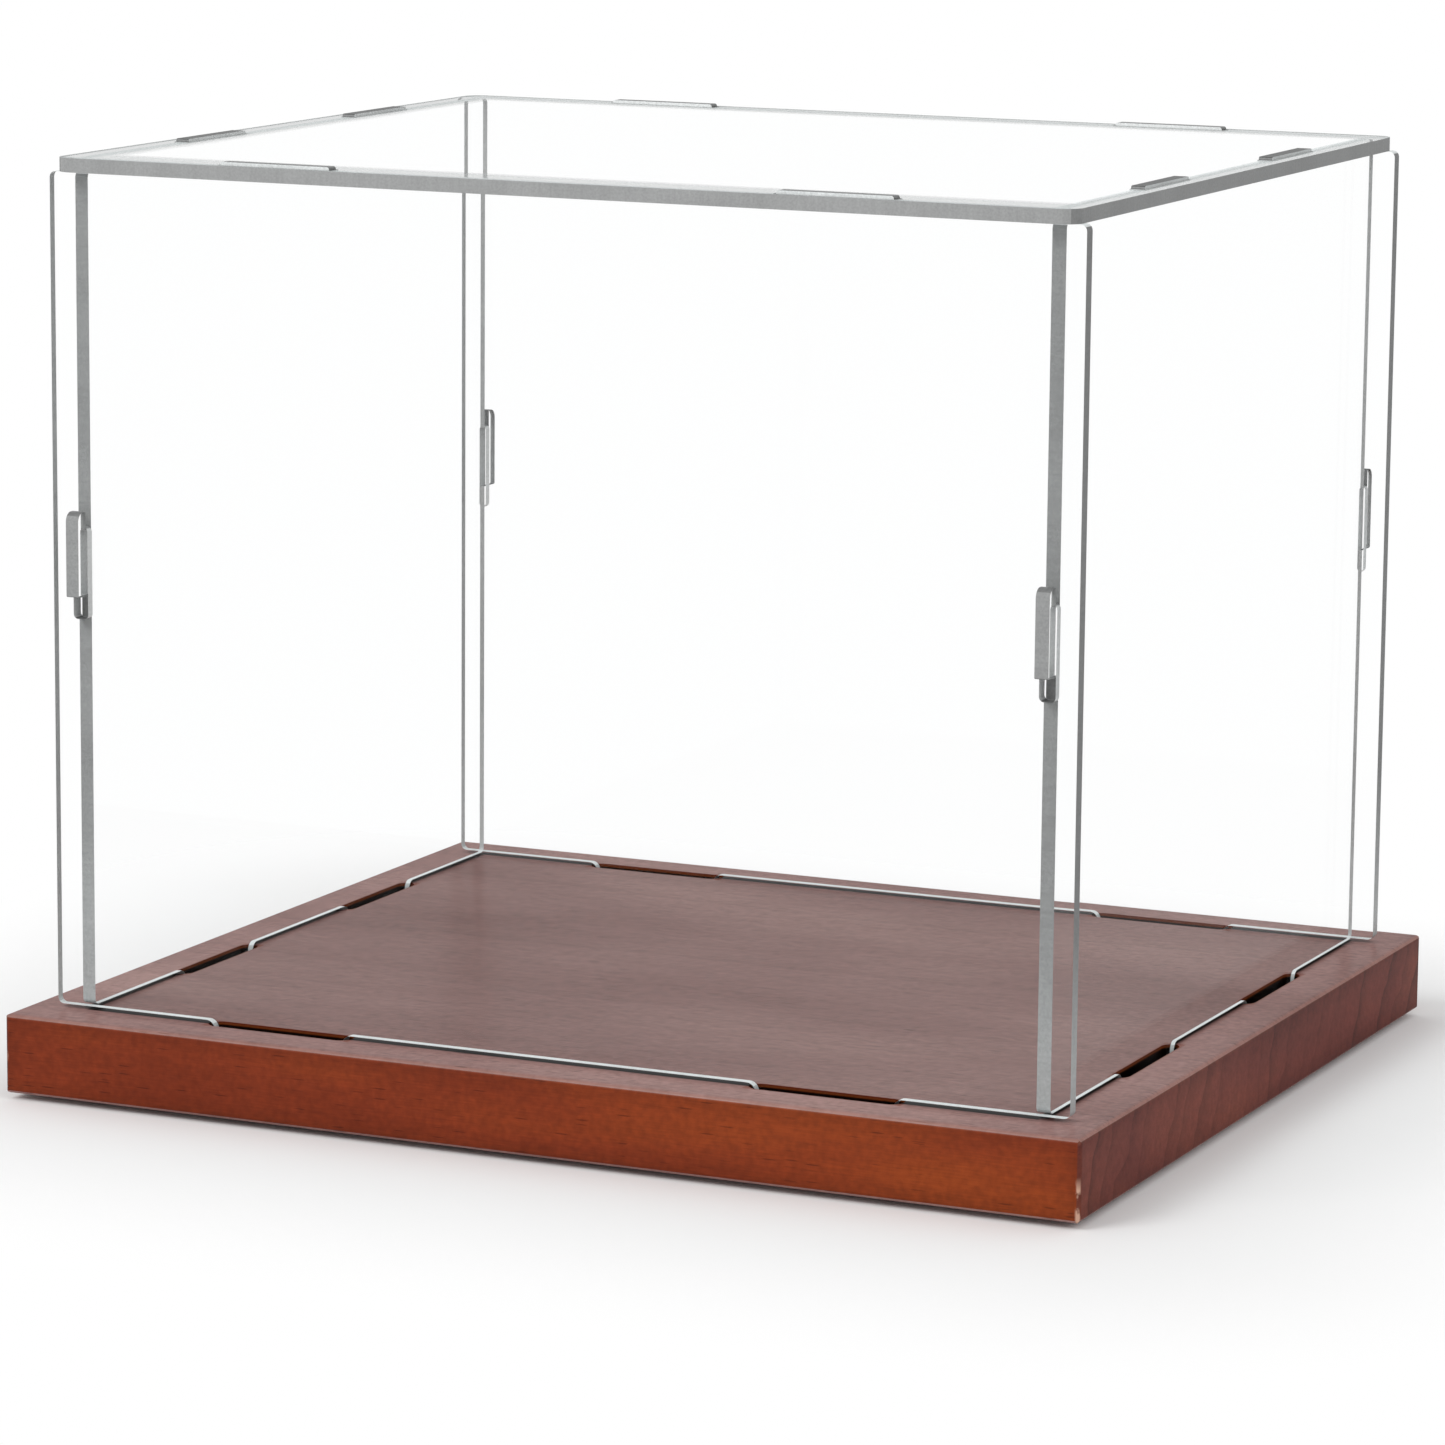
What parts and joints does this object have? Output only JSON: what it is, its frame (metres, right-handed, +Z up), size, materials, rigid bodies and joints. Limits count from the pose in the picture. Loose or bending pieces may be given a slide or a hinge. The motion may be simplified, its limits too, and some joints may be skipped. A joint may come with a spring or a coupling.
{
  "type": "display case",
  "caption": "Clear acrylic display case on a stained wooden board. Flat panels lock together with tabs, slots and hooks, and the cover and the top plate lift off.",
  "frame": {"origin": "middle of the footprint, on the table plane that the pads stand on", "axes": "+Z up, the front panel towards -Y, the long side of the board along X"},
  "size_m": [0.368, 0.32, 0.3017],
  "materials": {
    "clear_acrylic": "polished faces with frosted laser-cut edges",
    "stained_wood": "red-brown stain under satin varnish",
    "pad_rubber": "matt"
  },
  "bodies": {
    "base": {"base_board": "stained_wood", "front_left_pad": "pad_rubber", "front_right_pad": "pad_rubber", "back_left_pad": "pad_rubber", "back_right_pad": "pad_rubber"},
    "side_walls": {"left_panel": "clear_acrylic", "right_panel": "clear_acrylic"},
    "front_wall": {"front_panel": "clear_acrylic"},
    "back_wall": {"back_panel": "clear_acrylic"},
    "top": {"top_panel": "clear_acrylic"}
  },
  "joints": [
    {"name": "cover_lift", "type": "slide", "parent": "base", "child": "side_walls", "axis": [0, 0, 1], "range_m": [0, 0.3]},
    {"name": "front_unhook", "type": "slide", "parent": "side_walls", "child": "front_wall", "axis": [0, 0, 1], "range_m": [0, 0.006]},
    {"name": "back_unhook", "type": "slide", "parent": "side_walls", "child": "back_wall", "axis": [0, 0, 1], "range_m": [0, 0.006]},
    {"name": "top_lift", "type": "slide", "parent": "front_wall", "child": "top", "axis": [0, 0, 1], "range_m": [0, 0.06]}
  ],
  "couplings": [
    {"joint": "back_unhook", "follows": "front_unhook", "ratio": 1}
  ]
}
